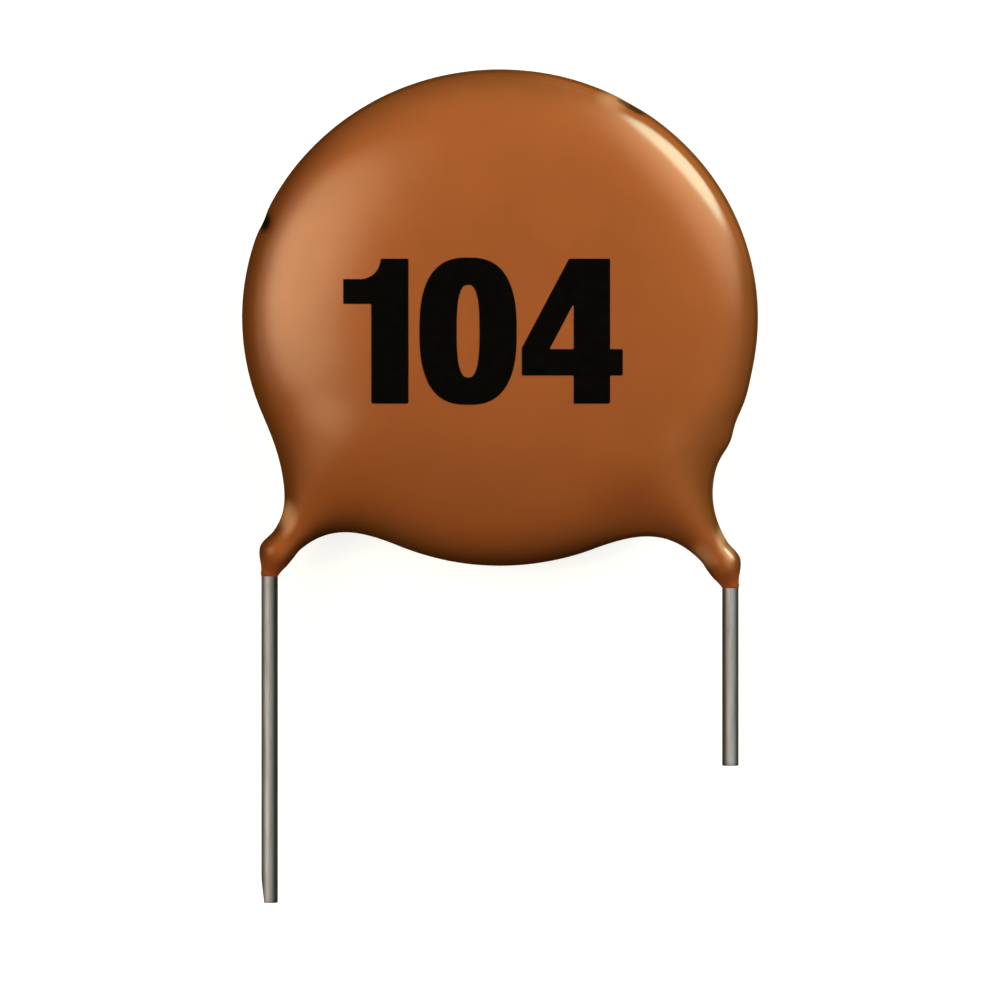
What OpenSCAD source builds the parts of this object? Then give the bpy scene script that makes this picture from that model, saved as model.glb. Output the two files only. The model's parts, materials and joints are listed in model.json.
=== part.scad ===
// Ceramic disc capacitor: a silvered ceramic disc between two soldered wire leads, dipped in resin.
// It lies on its back: the front face looks up along +Z and the leads point along -Y.
// The origin is under the centre of the disc, on the flat of the back face. Lengths are millimetres.

/* [Ceramic disc] */
// diameter of the ceramic disc
ceramic_d = 12; // [11:0.5:13]
// thickness of the ceramic disc
ceramic_t = 1; // [0.8:0.1:1.6]
// thickness of each silver electrode
electrode_t = 0.05; // [0.03:0.01:0.1]
// bare ceramic left around each electrode
electrode_margin = 0.5; // [0.3:0.1:1]

/* [Leads] */
// distance between the two leads
lead_pitch = 12.5; // [11.5:0.1:13.5]
// diameter of the lead wire
lead_d = 0.45; // [0.4:0.01:0.6]
// free length of the front lead, from its coating lip to its tip
front_free = 4.84; // [2:0.05:12]
// free length of the rear lead, from its coating lip to its tip
rear_free = 8.88; // [2:0.05:12]
// lean of the wire inside its leg, in degrees from the free length
lead_lean = 40; // [36:1:44]
// radius of the bend in the leg, to the middle of the wire
leg_bend_r = 1.2; // [1:0.1:1.5]
// radius of the bend onto the face of the disc, to the middle of the wire
face_bend_r = 1; // [0.8:0.1:1.5]
// length of wire that lies along the face of the disc
contact_run = 4.5; // [4:0.1:5.5]
// depth of the flat that the cutter left on the rear tip
nip_depth = 0.08; // [0.04:0.01:0.12]
// length of the flat on the rear tip
nip_run = 0.65; // [0.4:0.05:1]

/* [Solder] */
// solder between the wire and the electrode
film_t = 0.05; // [0.03:0.01:0.08]
// solder over the wire
solder_cover = 0.12; // [0.08:0.01:0.16]
// length of the straight part of the solder mound
solder_run = 2.2; // [1.5:0.1:2.8]

/* [Coating] */
// coating beyond the ceramic at the left and right
coat_side = 1.01; // [0.9:0.01:1.3]
// coating beyond the ceramic at the top and bottom
coat_top = 0.74; // [0.6:0.01:1.2]
// coating over each electrode at the middle of its face
coat_face = 0.95; // [0.9:0.05:1.3]
// diameter of the flat at the middle of each face
flat_d = 4; // [3:0.1:5]
// fullness of the edge, where 2 is an ellipse and more is squarer
fullness = 2.5; // [2.2:0.1:3]
// coating around the wire where a leg leaves the body
leg_coat = 0.3; // [0.26:0.01:0.36]
// coating around the wire at the bend of a leg
bend_coat = 0.22; // [0.21:0.01:0.28]
// coating around the wire at the lip of a leg
lip_coat = 0.06; // [0.05:0.01:0.1]
// reach of the soft web between a leg and the body
web = 2.1; // [1.6:0.05:2.3]
// bend of the front lead, below the edge of the ceramic
front_drop = 0.65; // [0.5:0.01:0.8]
// bend of the rear lead, below the edge of the ceramic
rear_drop = 0.32; // [0.25:0.01:0.6]

/* [Hidden] */
$fn = 72;
front = 1;
rear = -1;
ceramic_r = ceramic_d / 2;
lead_r = lead_d / 2;
// half thickness of the coating, which is also the height of the middle plane
half_t = ceramic_t / 2 + electrode_t + coat_face;
// height of the electrode surface and of the wire on it, from the middle plane
face_z = ceramic_t / 2 + electrode_t;
wire_z = face_z + film_t + lead_r;
// the wire is up on the face this far outside the edge of the ceramic
edge_gap = 0.4;
// straight wire that the lip covers below the bend
lip_run = 0.2;
// bending draws the wire this much thinner, over this much of the straight wire at each end
bend_draw = 0.01;
bend_lap = 0.1;
// half width and half height of the coating seen from the front
coat_a = ceramic_r + coat_side;
coat_b = ceramic_r + coat_top;
// width of the rounded shoulder, from the flat to the edge
shoulder = (coat_a + coat_b) / 2 - flat_d / 2;
solder_r = film_t + lead_d + solder_cover;
// the coating gathers this far inside and below the bend of a leg
bend_in = 0.2;
bend_low = 0.04;
// the limb of coating over a wire starts this far inside the edge of the ceramic
root_in = 0.2;

function unit(v) = v / norm(v);
function flip(p, side) = [side * p.x, p.y, side * p.z];
function mix(a, b, t) = a + (b - a) * t;

// The wire, worked out for the front lead around the middle plane and flipped over for the rear lead.
function drop(side) = side == front ? front_drop : rear_drop;
function free(side) = side == front ? front_free : rear_free;
function bend_at(side) = [lead_pitch / 2, -(ceramic_r + drop(side)), 0];
// direction of the leaning wire, seen from the front
lean = [-sin(lead_lean), cos(lead_lean), 0];
// distance along the lean to a circle around the disc
function reach(p, r) = let (m = p * lean) -m - sqrt(m * m - p * p + r * r);
function face_at(side) = let (p = bend_at(side))
    p + reach(p, ceramic_r + edge_gap) * lean + [0, 0, wire_z];
function end_at(side) = face_at(side) + contact_run * lean;
// straight length that a bend takes from each side of its corner
function bend_cut(a, corner, b, r) = r * tan(acos(unit(corner - a) * unit(b - corner)) / 2);
function lip_y(side) = let (p = bend_at(side))
    p.y - bend_cut(p - [0, 1, 0], p, face_at(side), leg_bend_r) - lip_run;
function tip_at(side) = [lead_pitch / 2, lip_y(side) - free(side), 0];

// matrix that puts the axes x, y and their cross product at a point
function axes(at, x, y) = let (z = cross(x, y))
    [[x.x, y.x, z.x, at.x], [x.y, y.y, z.y, at.y], [x.z, y.z, z.z, at.z], [0, 0, 0, 1]];

// straight wire between two points
module rod(a, b, r = lead_r) {
    d = unit(b - a);
    x = unit(cross([0, 0, 1], d));
    multmatrix(axes(a, x, cross(d, x))) cylinder(r = r, h = norm(b - a));
}

// bent wire that rounds the corner between a and b, a little into the straight wire at each end
module elbow(a, corner, b, bend_r) {
    d = unit(corner - a);
    e = unit(b - corner);
    turn = acos(d * e);
    start = corner - bend_r * tan(turn / 2) * d;
    inward = unit(e - (e * d) * d);
    lap = asin(bend_lap / bend_r);
    multmatrix(axes(start + bend_r * inward, -inward, d)) rotate([0, 0, -lap])
        rotate_extrude(angle = turn + 2 * lap) translate([bend_r, 0]) circle(r = lead_r - bend_draw);
}

// whole wire from its tip to its end on the face
module wire(side) {
    tip = tip_at(side);
    bend = bend_at(side);
    face = face_at(side);
    end = end_at(side);
    cut1 = bend_cut(tip, bend, face, leg_bend_r);
    cut2 = bend_cut(bend, face, end, face_bend_r);
    ramp = unit(face - bend);
    rod(tip, bend - [0, cut1, 0]);
    elbow(tip, bend, face, leg_bend_r);
    rod(bend + cut1 * ramp, face - cut2 * ramp);
    elbow(bend, face, end, face_bend_r);
    rod(face + cut2 * lean, end);
}

// turns the front side's shape over for the rear side and lifts it onto the floor
module placed(side) {
    translate([0, 0, half_t]) rotate([0, side == front ? 0 : 180, 0]) children();
}

module front_lead() {
    color("silver") placed(front) wire(front);
}

module rear_lead() {
    tip = tip_at(rear);
    color("silver") placed(rear) difference() {
        wire(rear);
        // flat left by the cutter on the outer side of the tip
        translate([tip.x + lead_r - nip_depth, tip.y, -1])
            rotate([0, 0, -atan(nip_depth / nip_run)]) translate([0, -1, 0]) cube([1, nip_run + 2, 2]);
    }
}

// mound of solder over the end of the wire, standing on the electrode
module mound(side) {
    end = end_at(side);
    foot = [end.x, end.y, face_z];
    difference() {
        intersection() {
            multmatrix(axes(foot, [0, 0, 1], cross(-lean, [0, 0, 1]))) rotate_extrude() intersection() {
                union() {
                    square([solder_r, solder_run]);
                    circle(r = solder_r);
                    translate([0, solder_run]) circle(r = solder_r);
                }
                translate([0, -solder_r]) square([solder_r, solder_run + 2 * solder_r]);
            }
            translate([foot.x - 5, foot.y - 5, face_z]) cube([10, 10, 2 * solder_r]);
        }
        wire(side);
    }
}

module front_solder() {
    color("lightgrey") placed(front) mound(front);
}

module rear_solder() {
    color("lightgrey") placed(rear) mound(rear);
}

module ceramic_disc() {
    color("wheat") translate([0, 0, half_t - ceramic_t / 2]) cylinder(d = ceramic_d, h = ceramic_t);
}

module electrode(side) {
    placed(side) translate([0, 0, ceramic_t / 2]) cylinder(r = ceramic_r - electrode_margin, h = electrode_t);
}

module front_electrode() {
    color("gainsboro") electrode(front);
}

module rear_electrode() {
    color("gainsboro") electrode(rear);
}

// The coating is the surface where a field of distances is zero: a pillow over the disc, with a soft
// round limb along each wire. Spokes from a branching spine find that surface.

// joins two distances with a soft web of reach k
function blend(a, b, k) = let (h = max(k - abs(a - b), 0) / k) min(a, b) - h * h * k / 4;

// distance to a round limb from a to b whose radius goes from r1 to r2
function limb(p, a, b, r1, r2) =
    let (d = b - a, t = max(0, min(1, (p - a) * d / (d * d)))) norm(p - a - t * d) - mix(r1, r2, t);

// distance to the pillow over the disc
function pillow(p) =
    let (e = norm([p.x / coat_a, p.y / coat_b]),
         g = norm([p.x / coat_a / coat_a, p.y / coat_b / coat_b]),
         d = g > 0 ? e * (e - 1) / g : -coat_b,
         u = max(0, 1 + d / shoulder),
         w = abs(p.z) / half_t)
    (sqrt(pow(u, fullness) + w * w) - 1)
        * mix(half_t, 2 * shoulder / fullness, u * u / (u * u + w * w + 0.0001));

// centres of the limb over a wire: at its lip, inside its bend and at its root in the body
function limb_points(side) = let (p = bend_at(side)) [
    [p.x, lip_y(side) + 0.15, 0],
    p + [-bend_in, -bend_low, 0],
    p + reach(p, ceramic_r - root_in) * lean + [0, 0, wire_z / 2],
];
limb_front = limb_points(front);
limb_rear = limb_points(rear);
lip_r = lead_r + lip_coat;
bend_r = lead_r + bend_coat;
root_r = lead_r + leg_coat;

function leg(p, c) = blend(limb(p, c[0], c[1], lip_r, bend_r), limb(p, c[1], c[2], bend_r, root_r), 0.25);

function field(p) = blend(blend(pillow(p), leg(p, limb_front), web), leg(flip(p, rear), limb_rear), web);

// distance from m along d to the surface, by halving
function spoke(m, d, lo = 0, hi = coat_a + 2, n = 26) =
    n == 0 ? (lo + hi) / 2
           : let (mid = (lo + hi) / 2)
             field(m + mid * d) < 0 ? spoke(m, d, mid, hi, n - 1) : spoke(m, d, lo, mid, n - 1);

// stations of the spine from the centre of the disc to one lip
body_steps = 12;
leg_steps = 9;
lip_steps = 3;
cap_steps = 8;
crown_steps = 20;
arch_steps = 9;
last = body_steps + leg_steps + lip_steps;
function spine(side) = let (c = side == front ? limb_front : limb_rear)
    [[0, 0, 0], [c[2].x, c[2].y, c[2].z / 2], c[1], c[0]];
function heading(v) = atan2(v.y, v.x);
// point on the bottom edge of the body, a share of the way from its middle towards the leg
function bottom(share) = [coat_a * sin(25 * share), -coat_b * cos(25 * share), 0];
// spine position, outer heading and inner heading at station i
function station(i, q) =
    let (h = [heading(q[1]), heading(q[2] - q[1]), heading(q[3] - q[2])],
         s = i <= body_steps ? [0, i / body_steps]
             : i <= body_steps + leg_steps ? [1, (i - body_steps) / leg_steps]
             : [2, (i - body_steps - leg_steps) / lip_steps],
         m = mix(q[s[0]], q[s[0] + 1], s[1]),
         outer = [h[0], (h[0] + h[1]) / 2, (h[1] + h[2]) / 2, h[2]],
         inner = [0, heading(bottom(1) - q[1]), (h[1] + h[2]) / 2 - 90, h[2] - 90])
    [m,
     mix(outer[s[0]], outer[s[0] + 1], s[1]) + 90,
     s[0] == 0 ? heading(bottom(s[1]) - m) : mix(inner[s[0]], inner[s[0] + 1], s[1])];

// spokes of the right half, from the top of the crown to the middle of the bottom: [station, heading]
function side_ribs(q) = let (crown = heading(q[1]) + 90) concat(
    [for (i = [0 : crown_steps / 2 - 1]) [0, mix(90, crown, i / (crown_steps / 2))]],
    [for (i = [0 : last]) [i, station(i, q)[1]]],
    [for (i = [1 : cap_steps - 1]) [last, mix(station(last, q)[1], station(last, q)[2], i / cap_steps)]],
    [for (i = [last : -1 : 1]) [i, station(i, q)[2]]]);

// dipped skin as one closed surface, with the middle plane at height zero
module skin() {
    spine_f = spine(front);
    spine_r = spine(rear);
    ribs_f = side_ribs(spine_f);
    ribs_r = side_ribs(spine_r);
    // the rear half is walked back up from the bottom, so that the ribs go once around
    ribs = concat(
        [for (r = ribs_f) [station(r[0], spine_f)[0], r[1], r[0]]],
        [[[0, 0, 0], -90, 0]],
        [for (i = [len(ribs_r) - 1 : -1 : 1]) let (r = ribs_r[i])
            [flip(station(r[0], spine_r)[0], rear), 180 - r[1], r[0] == 0 ? 0 : last + r[0]]]);
    poles = concat([for (i = [0 : last]) station(i, spine_f)[0]],
                   [for (i = [1 : last]) flip(station(i, spine_r)[0], rear)]);
    up = [for (m = poles) spoke(m, [0, 0, 1])];
    down = [for (m = poles) spoke(m, [0, 0, -1])];
    rows = 2 * arch_steps + 1;
    count = len(ribs);
    points = concat(
        [for (r = ribs)
            let (m = r[0], d = [cos(r[1]), sin(r[1]), 0],
                 l = spoke(m, d), level = max(l - shoulder, 0))
            for (j = [-arch_steps : arch_steps])
                let (t = 90 * j / (arch_steps + (level > 0 ? 0 : 1)),
                     x = level + (l - level) * pow(cos(t), 2 / fullness),
                     z = sin(t) * (j < 0 ? down[r[2]] : up[r[2]]),
                     v = unit(x * d + [0, 0, z]))
                m + spoke(m, v) * v],
        [for (i = [0 : len(poles) - 1]) poles[i] - [0, 0, down[i]]],
        [for (i = [0 : len(poles) - 1]) poles[i] + [0, 0, up[i]]]);
    low = count * rows;
    high = low + len(poles);
    function at(i, j) = (i % count) * rows + j;
    function foot(i) = low + ribs[i % count][2];
    function head(i) = high + ribs[i % count][2];
    // two triangles over a four-sided patch, split along its shorter diagonal
    function patch(a, b, c, d) = norm(points[a] - points[c]) < norm(points[b] - points[d])
        ? [[a, b, c], [a, c, d]] : [[a, b, d], [b, c, d]];
    faces = concat(
        [for (i = [0 : count - 1], j = [0 : rows - 2])
            each patch(at(i, j), at(i, j + 1), at(i + 1, j + 1), at(i + 1, j))],
        [for (i = [0 : count - 1]) [at(i, 0), at(i + 1, 0), foot(i)]],
        [for (i = [0 : count - 1]) if (foot(i) != foot(i + 1)) [at(i + 1, 0), foot(i + 1), foot(i)]],
        [for (i = [0 : count - 1]) [at(i + 1, rows - 1), at(i, rows - 1), head(i)]],
        [for (i = [0 : count - 1]) if (head(i) != head(i + 1)) [head(i + 1), at(i + 1, rows - 1), head(i)]]);
    polyhedron(points = points, faces = faces, convexity = 6);
}

module coating() {
    color("sienna") difference() {
        translate([0, 0, half_t]) skin();
        ceramic_disc();
        front_electrode();
        rear_electrode();
        front_lead();
        rear_lead();
        front_solder();
        rear_solder();
    }
}

coating();
ceramic_disc();
front_electrode();
rear_electrode();
front_lead();
rear_lead();
front_solder();
rear_solder();
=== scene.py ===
"""Looks of a ceramic disc capacitor, laid out as an add-on and run as a script.

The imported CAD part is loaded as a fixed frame. The dipped coating, the printed number and the two wire
leads are made again as finer surfaces in the same place. Everything gets a procedural material, and the
stage has a pale floor, a soft lamp, a studio with soft glows and a camera that looks straight down on the
part.
"""

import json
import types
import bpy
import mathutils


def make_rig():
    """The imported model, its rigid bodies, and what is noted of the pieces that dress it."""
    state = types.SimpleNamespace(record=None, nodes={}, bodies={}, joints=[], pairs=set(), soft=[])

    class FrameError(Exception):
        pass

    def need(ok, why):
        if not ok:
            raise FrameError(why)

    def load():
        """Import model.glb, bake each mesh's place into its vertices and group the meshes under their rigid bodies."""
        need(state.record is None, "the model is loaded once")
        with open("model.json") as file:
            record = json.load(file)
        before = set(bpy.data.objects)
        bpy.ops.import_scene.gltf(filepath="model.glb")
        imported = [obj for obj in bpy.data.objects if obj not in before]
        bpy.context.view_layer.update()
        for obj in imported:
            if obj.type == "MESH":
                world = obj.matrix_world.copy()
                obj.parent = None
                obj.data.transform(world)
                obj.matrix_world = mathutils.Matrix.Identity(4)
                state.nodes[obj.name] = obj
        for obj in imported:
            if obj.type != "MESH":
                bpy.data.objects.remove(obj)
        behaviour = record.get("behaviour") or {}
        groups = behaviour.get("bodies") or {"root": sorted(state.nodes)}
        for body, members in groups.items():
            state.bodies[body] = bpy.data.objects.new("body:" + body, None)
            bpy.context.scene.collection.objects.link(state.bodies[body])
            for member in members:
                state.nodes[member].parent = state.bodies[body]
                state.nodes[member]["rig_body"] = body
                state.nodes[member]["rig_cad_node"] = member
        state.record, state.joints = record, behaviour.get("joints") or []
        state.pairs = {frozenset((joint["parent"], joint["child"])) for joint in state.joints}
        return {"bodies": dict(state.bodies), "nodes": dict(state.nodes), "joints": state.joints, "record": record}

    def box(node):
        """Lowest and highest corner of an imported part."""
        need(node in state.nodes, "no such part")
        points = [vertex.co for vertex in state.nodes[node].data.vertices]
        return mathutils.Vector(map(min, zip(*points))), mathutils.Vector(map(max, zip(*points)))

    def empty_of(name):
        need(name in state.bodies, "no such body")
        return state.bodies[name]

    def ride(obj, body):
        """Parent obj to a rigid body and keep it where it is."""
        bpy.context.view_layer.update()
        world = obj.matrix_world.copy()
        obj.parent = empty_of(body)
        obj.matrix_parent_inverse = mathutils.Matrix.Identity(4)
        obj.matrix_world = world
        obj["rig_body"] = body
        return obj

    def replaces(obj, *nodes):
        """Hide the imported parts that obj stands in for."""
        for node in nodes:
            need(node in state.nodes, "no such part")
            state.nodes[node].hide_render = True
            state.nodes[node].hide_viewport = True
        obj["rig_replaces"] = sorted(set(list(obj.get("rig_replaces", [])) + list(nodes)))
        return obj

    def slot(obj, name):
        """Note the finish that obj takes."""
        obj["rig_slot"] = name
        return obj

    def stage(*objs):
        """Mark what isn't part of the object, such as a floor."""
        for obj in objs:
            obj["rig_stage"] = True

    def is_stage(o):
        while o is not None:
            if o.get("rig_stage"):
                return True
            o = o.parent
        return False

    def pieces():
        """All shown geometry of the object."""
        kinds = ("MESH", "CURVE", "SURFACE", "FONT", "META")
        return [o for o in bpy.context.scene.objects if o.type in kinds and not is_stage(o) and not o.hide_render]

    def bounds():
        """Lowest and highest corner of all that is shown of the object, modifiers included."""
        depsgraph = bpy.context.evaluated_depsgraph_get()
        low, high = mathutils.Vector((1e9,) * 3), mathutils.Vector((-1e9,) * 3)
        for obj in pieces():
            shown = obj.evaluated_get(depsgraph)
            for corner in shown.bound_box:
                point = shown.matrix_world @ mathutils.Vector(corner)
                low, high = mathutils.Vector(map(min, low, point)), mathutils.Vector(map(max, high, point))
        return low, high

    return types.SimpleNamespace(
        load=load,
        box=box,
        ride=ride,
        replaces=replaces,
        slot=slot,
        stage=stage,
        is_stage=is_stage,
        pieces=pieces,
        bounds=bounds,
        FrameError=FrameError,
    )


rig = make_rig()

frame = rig.load()
CAD_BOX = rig.bounds()

import json
from functools import reduce
from types import SimpleNamespace

import bpy
import numpy as np
from bpy.props import FloatProperty, FloatVectorProperty, PointerProperty

bl_info = {
    "name": "Ceramic disc capacitor",
    "version": (1, 0, 0),
    "blender": (4, 5, 0),
    "location": "View3D > Sidebar > Capacitor",
    "description": "Makes the coating, leads, printed number and stage of a ceramic disc capacitor",
    "category": "Object",
}

MM = 0.001
BODY = "root"
UP = np.array([0.0, 0.0, 1.0])
TURN_OVER = np.array([-1.0, 1.0, -1.0])
COATING_LOW, COATING_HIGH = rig.box("coating")
DISC_RADIUS = (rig.box("ceramic_disc")[1].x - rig.box("ceramic_disc")[0].x) / 2
FRONT_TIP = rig.box("front_lead")[0].y
REAR_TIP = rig.box("rear_lead")[0].y
MIDDLE = (COATING_LOW.z + COATING_HIGH.z) / 2
WIRE_RADIUS = frame["record"]["mounts"][0]["dims"]["r_mm"] * MM
WIRE_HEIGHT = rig.box("front_lead")[1].z - WIRE_RADIUS - MIDDLE

# Gap between the ceramic's edge and the place where a wire reaches the face
LANDING_GAP = 0.4 * MM
# Mesh of a wire: points around it, points on each bend, distance of its rings and rounding of its ends
WIRE_AROUND, WIRE_BEND_STEPS, WIRE_STEP, WIRE_EDGE = 48, 24, 0.12 * MM, 0.025 * MM
# Length of the rear wire from its tip that the pinch can reach
NIP_REACH = 1 * MM
# Turn of the palest line along each wire away from the front, in degrees; the flanks around it get painted
# shade, so turning the line paints the side towards the light lighter
FRONT_SHINE, REAR_SHINE = 0, 12

# A leg of resin: its lip below the bend of the wire, the middle of its round end above the lip, its root
# inside the ceramic's edge, the middle of its own bend from the wire's corner, and the web in that bend
LIP_DROP, LIP_ROUND, ROOT_INSET = 0.2 * MM, 0.06 * MM, 0.2 * MM
BEND_SHIFT = np.array([-0.18, -0.04, 0]) * MM
BEND_WEB = 0.2 * MM
# Distance from the end of a leg at which the lip's colour starts and at which it is full
LIP_START, LIP_FULL = 0.75 * MM, 0.2 * MM

# Share of the front face's sink that the back face gets
BACK_SINK = 0.4

# Half width of the floor in metres, and width of the camera's sensor in mm
FLOOR_HALF, SENSOR_WIDTH = 1.5, 36


def length(name, description, default):
    """A length property in metres."""
    return FloatProperty(name=name, description=description, default=default, unit="LENGTH",
                         subtype="DISTANCE", precision=5)


def colour(name, description, default):
    """A linear colour property."""
    return FloatVectorProperty(name=name, description=description, default=default, size=3,
                               subtype="COLOR", min=0.0, max=1.0)


def share(name, description, default):
    """A property from 0 to 1."""
    return FloatProperty(name=name, description=description, default=default, subtype="FACTOR",
                         min=0.0, max=1.0)


class CoatingSettings(bpy.types.PropertyGroup):
    """Sizes and colours of the dipped resin coating."""
    half_width: length("Half width", "Half width of the coated disc", 7.004 * MM)
    half_height: length("Half height", "Half height of the coated disc", 6.74 * MM)
    half_thickness: length("Half thickness", "Half thickness of the coated disc",
                           (COATING_HIGH.z - COATING_LOW.z) / 2)
    flat: length("Flat", "Diameter of the flat at the middle of each face", 4 * MM)
    fullness: FloatProperty(name="Fullness", description="Squareness of the edge, where 2 is an ellipse",
                            default=2.5)
    web: length("Web", "Reach of the soft web between a leg and the body", 2.1 * MM)
    lip_cover: length("Lip cover", "Resin around the wire at the lip of a leg", 0.02 * MM)
    bend_cover: length("Bend cover", "Resin around the wire at the bend of a leg", 0.205 * MM)
    root_cover: length("Root cover", "Resin around the wire where a leg leaves the body", 0.3 * MM)
    sink: length("Sink", "How far the front face lies below its highest point, to make room for the ink",
                 0.016 * MM)
    ripple: length("Ripple", "Height of the slow waves that the dip left in the skin", 0.006 * MM)
    resin: colour("Resin", "Colour of the resin", (0.3, 0.0815, 0.0242))
    # Painted shade: the rim colour darkens the steep rim, where shade falls, less on the lit upper right
    rim: colour("Rim", "Colour of the thin resin around the rim", (0.07, 0.021, 0.005))
    lip: colour("Lip", "Colour of the resin at the lips", (0.2, 0.042, 0.012))
    # Painted shade in part: the pit colour darkens the dents at the upper right, where shade falls
    pit: colour("Pit", "Colour inside the pits", (0.006, 0.004, 0.002))
    # Painted highlight: the pale colour lightens patches where highlights and glows fall
    pale: colour("Pale", "Colour of the rubbed, paler patches", (0.5, 0.235, 0.135))
    # Painted shade: this colour darkens the resin towards the bottom, which faces away from the light
    bottom_shade: colour("Gathered resin", "Colour where the resin gathered at the bottom",
                     (0.247, 0.067, 0.0183))
    # Painted shade: this colour darkens the resin over the front wire
    shade: colour("Shade", "Colour where the resin lies thick over the front wire",
                  (0.195, 0.054, 0.0152))
    roughness: share("Roughness", "Roughness of the resin under its gloss", 0.4)
    gloss: share("Gloss", "Strength of the smooth gloss on the resin", 0.7)
    lustre: share("Lustre", "Strength of the satin lustre under the gloss", 0.15)


class LeadSettings(bpy.types.PropertyGroup):
    """Sizes and colours of the two wire leads."""
    radius: length("Radius", "Radius of the wire", WIRE_RADIUS)
    pitch: length("Pitch", "Distance between the leads", 12.5 * MM)
    front_drop: length("Front drop", "Bend of the front lead below the ceramic", 0.65 * MM)
    rear_drop: length("Rear drop", "Bend of the rear lead below the ceramic", 0.32 * MM)
    lean: FloatProperty(name="Lean", description="Lean of the wire inside its leg", subtype="ANGLE",
                        unit="ROTATION", default=np.radians(40))
    leg_bend: length("Leg bend", "Radius of the bend in the leg", 1.2 * MM)
    face_bend: length("Face bend", "Radius of the bend onto the face of the disc", 1 * MM)
    height: length("Height", "Height of the wire on the disc, from the middle plane", WIRE_HEIGHT)
    contact: length("Contact", "Length of wire that lies along the face of the disc", 4.5 * MM)
    nip_depth: length("Nip depth", "Depth of the flat on the rear tip", 0.08 * MM)
    nip_run: length("Nip run", "Length of the flat on the rear tip", 0.65 * MM)
    tin: colour("Tin", "Colour of the tinned wire", (0.36, 0.342, 0.46))
    # Painted shade: the flank colour darkens the sides of the wire, where a lit round wire is shaded
    flank_shade: colour("Flank", "Colour of the dark flanks of the wire", (0.012, 0.0115, 0.011))
    tarnish: colour("Tarnish", "Colour of the dull streaks on the wire", (0.17, 0.165, 0.155))
    roughness: share("Roughness", "Roughness of the wire", 0.46)


class NumberSettings(bpy.types.PropertyGroup):
    """Place and colour of the printed number."""
    left: length("Left", "Left edge of the number", -4.23 * MM)
    base: length("Base", "Foot of the number", -2.35 * MM)
    height: length("Height", "Height of the digits", 3.91 * MM)
    film: length("Film", "Thickness of the ink above the resin", 0.01 * MM)
    bedding: length("Bedding", "Depth of the ink in the resin", 0.012 * MM)
    cell: length("Cell", "Size of the cells that the digits are cut from", 0.036 * MM)
    ink: colour("Ink", "Colour of the ink", (0.0009, 0.0008, 0.0008))


class StageSettings(bpy.types.PropertyGroup):
    """Floor, light and camera."""
    floor: colour("Floor", "Colour of the floor", (0.42, 0.42, 0.42))
    glow: share("Glow", "Share of white that the floor shows by itself", 0.8)
    ambient: share("Ambient", "Light that comes from all around", 0.1)
    frame_width: length("Frame width", "Width of the picture at the middle of the part", 27.133 * MM)
    aim: length("Aim", "Height in the picture that the camera looks at", -4.95 * MM)
    distance: length("Distance", "Distance of the camera from the part", 250 * MM)


class CapacitorSettings(bpy.types.PropertyGroup):
    """All settings of the capacitor."""
    coating: PointerProperty(type=CoatingSettings)
    leads: PointerProperty(type=LeadSettings)
    number: PointerProperty(type=NumberSettings)
    stage: PointerProperty(type=StageSettings)


# Vectors and meshes

def unit(v):
    """The vector or vectors v at length one."""
    return v / np.linalg.norm(v, axis=-1, keepdims=True)


def smooth(low, high, value):
    """Goes from 0 at low to 1 at high, with a level start and end."""
    t = np.clip((value - low) / (high - low), 0, 1)
    return t * t * (3 - 2 * t)


def heading(v):
    """Angle of v in the plane of the disc."""
    return np.arctan2(v[..., 1], v[..., 0])


def volume(points, faces):
    """Volume inside a closed mesh, by fanning each face from its first corner."""
    total = 0.0
    for size in {len(f) for f in faces}:
        corners = points[np.array([f for f in faces if len(f) == size])]
        for k in range(1, size - 1):
            total += np.einsum("ij,ij->", corners[:, 0], np.cross(corners[:, k], corners[:, k + 1])) / 6
    return total


def make_piece(name, points, faces, material, attributes=None):
    """A smooth mesh object at the origin that rides on the body, with its faces pointing outwards."""
    if volume(points, faces) <= 0:
        raise RuntimeError(name + " is inside out")
    mesh = bpy.data.meshes.new(name)
    mesh.from_pydata(points, [], faces)
    mesh.polygons.foreach_set("use_smooth", np.ones(len(mesh.polygons), bool))
    for key, values in (attributes or {}).items():
        mesh.attributes.new(key, "FLOAT", "POINT").data.foreach_set("value", values.astype(np.float32))
    mesh.materials.append(material)
    mesh.update()
    if mesh.validate():
        raise RuntimeError(name + " has faulty faces")
    piece = bpy.data.objects.new(name, mesh)
    bpy.context.scene.collection.objects.link(piece)
    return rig.ride(piece, BODY)


# Wire

def reach(point, lean, radius):
    """Distance from a point along the lean to a circle around the disc."""
    m = point @ lean
    return -m - np.sqrt(m * m - point @ point + radius * radius)


def lean_way(leads):
    """Direction in which the front wire leans inside its leg."""
    return np.array([-np.sin(leads.lean), np.cos(leads.lean), 0])


def wire_line(leads, drop, tip):
    """Corners of the front wire's centre line around the middle plane: tip, bend, landing and inner end.

    The wire rises from its tip to the bend, leans inwards and up to the face just outside the ceramic,
    and runs on along the face.
    """
    lean = lean_way(leads)
    bend = np.array([leads.pitch / 2, -(DISC_RADIUS + drop), 0])
    face = bend + reach(bend, lean, DISC_RADIUS + LANDING_GAP) * lean + leads.height * UP
    return np.array([[bend[0], tip, 0], bend, face, face + leads.contact * lean])


def bend_cut(before, corner, after, radius):
    """Straight length that a rounded bend takes from each side of its corner."""
    return radius * np.tan(np.arccos(unit(corner - before) @ unit(after - corner)) / 2)


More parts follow.
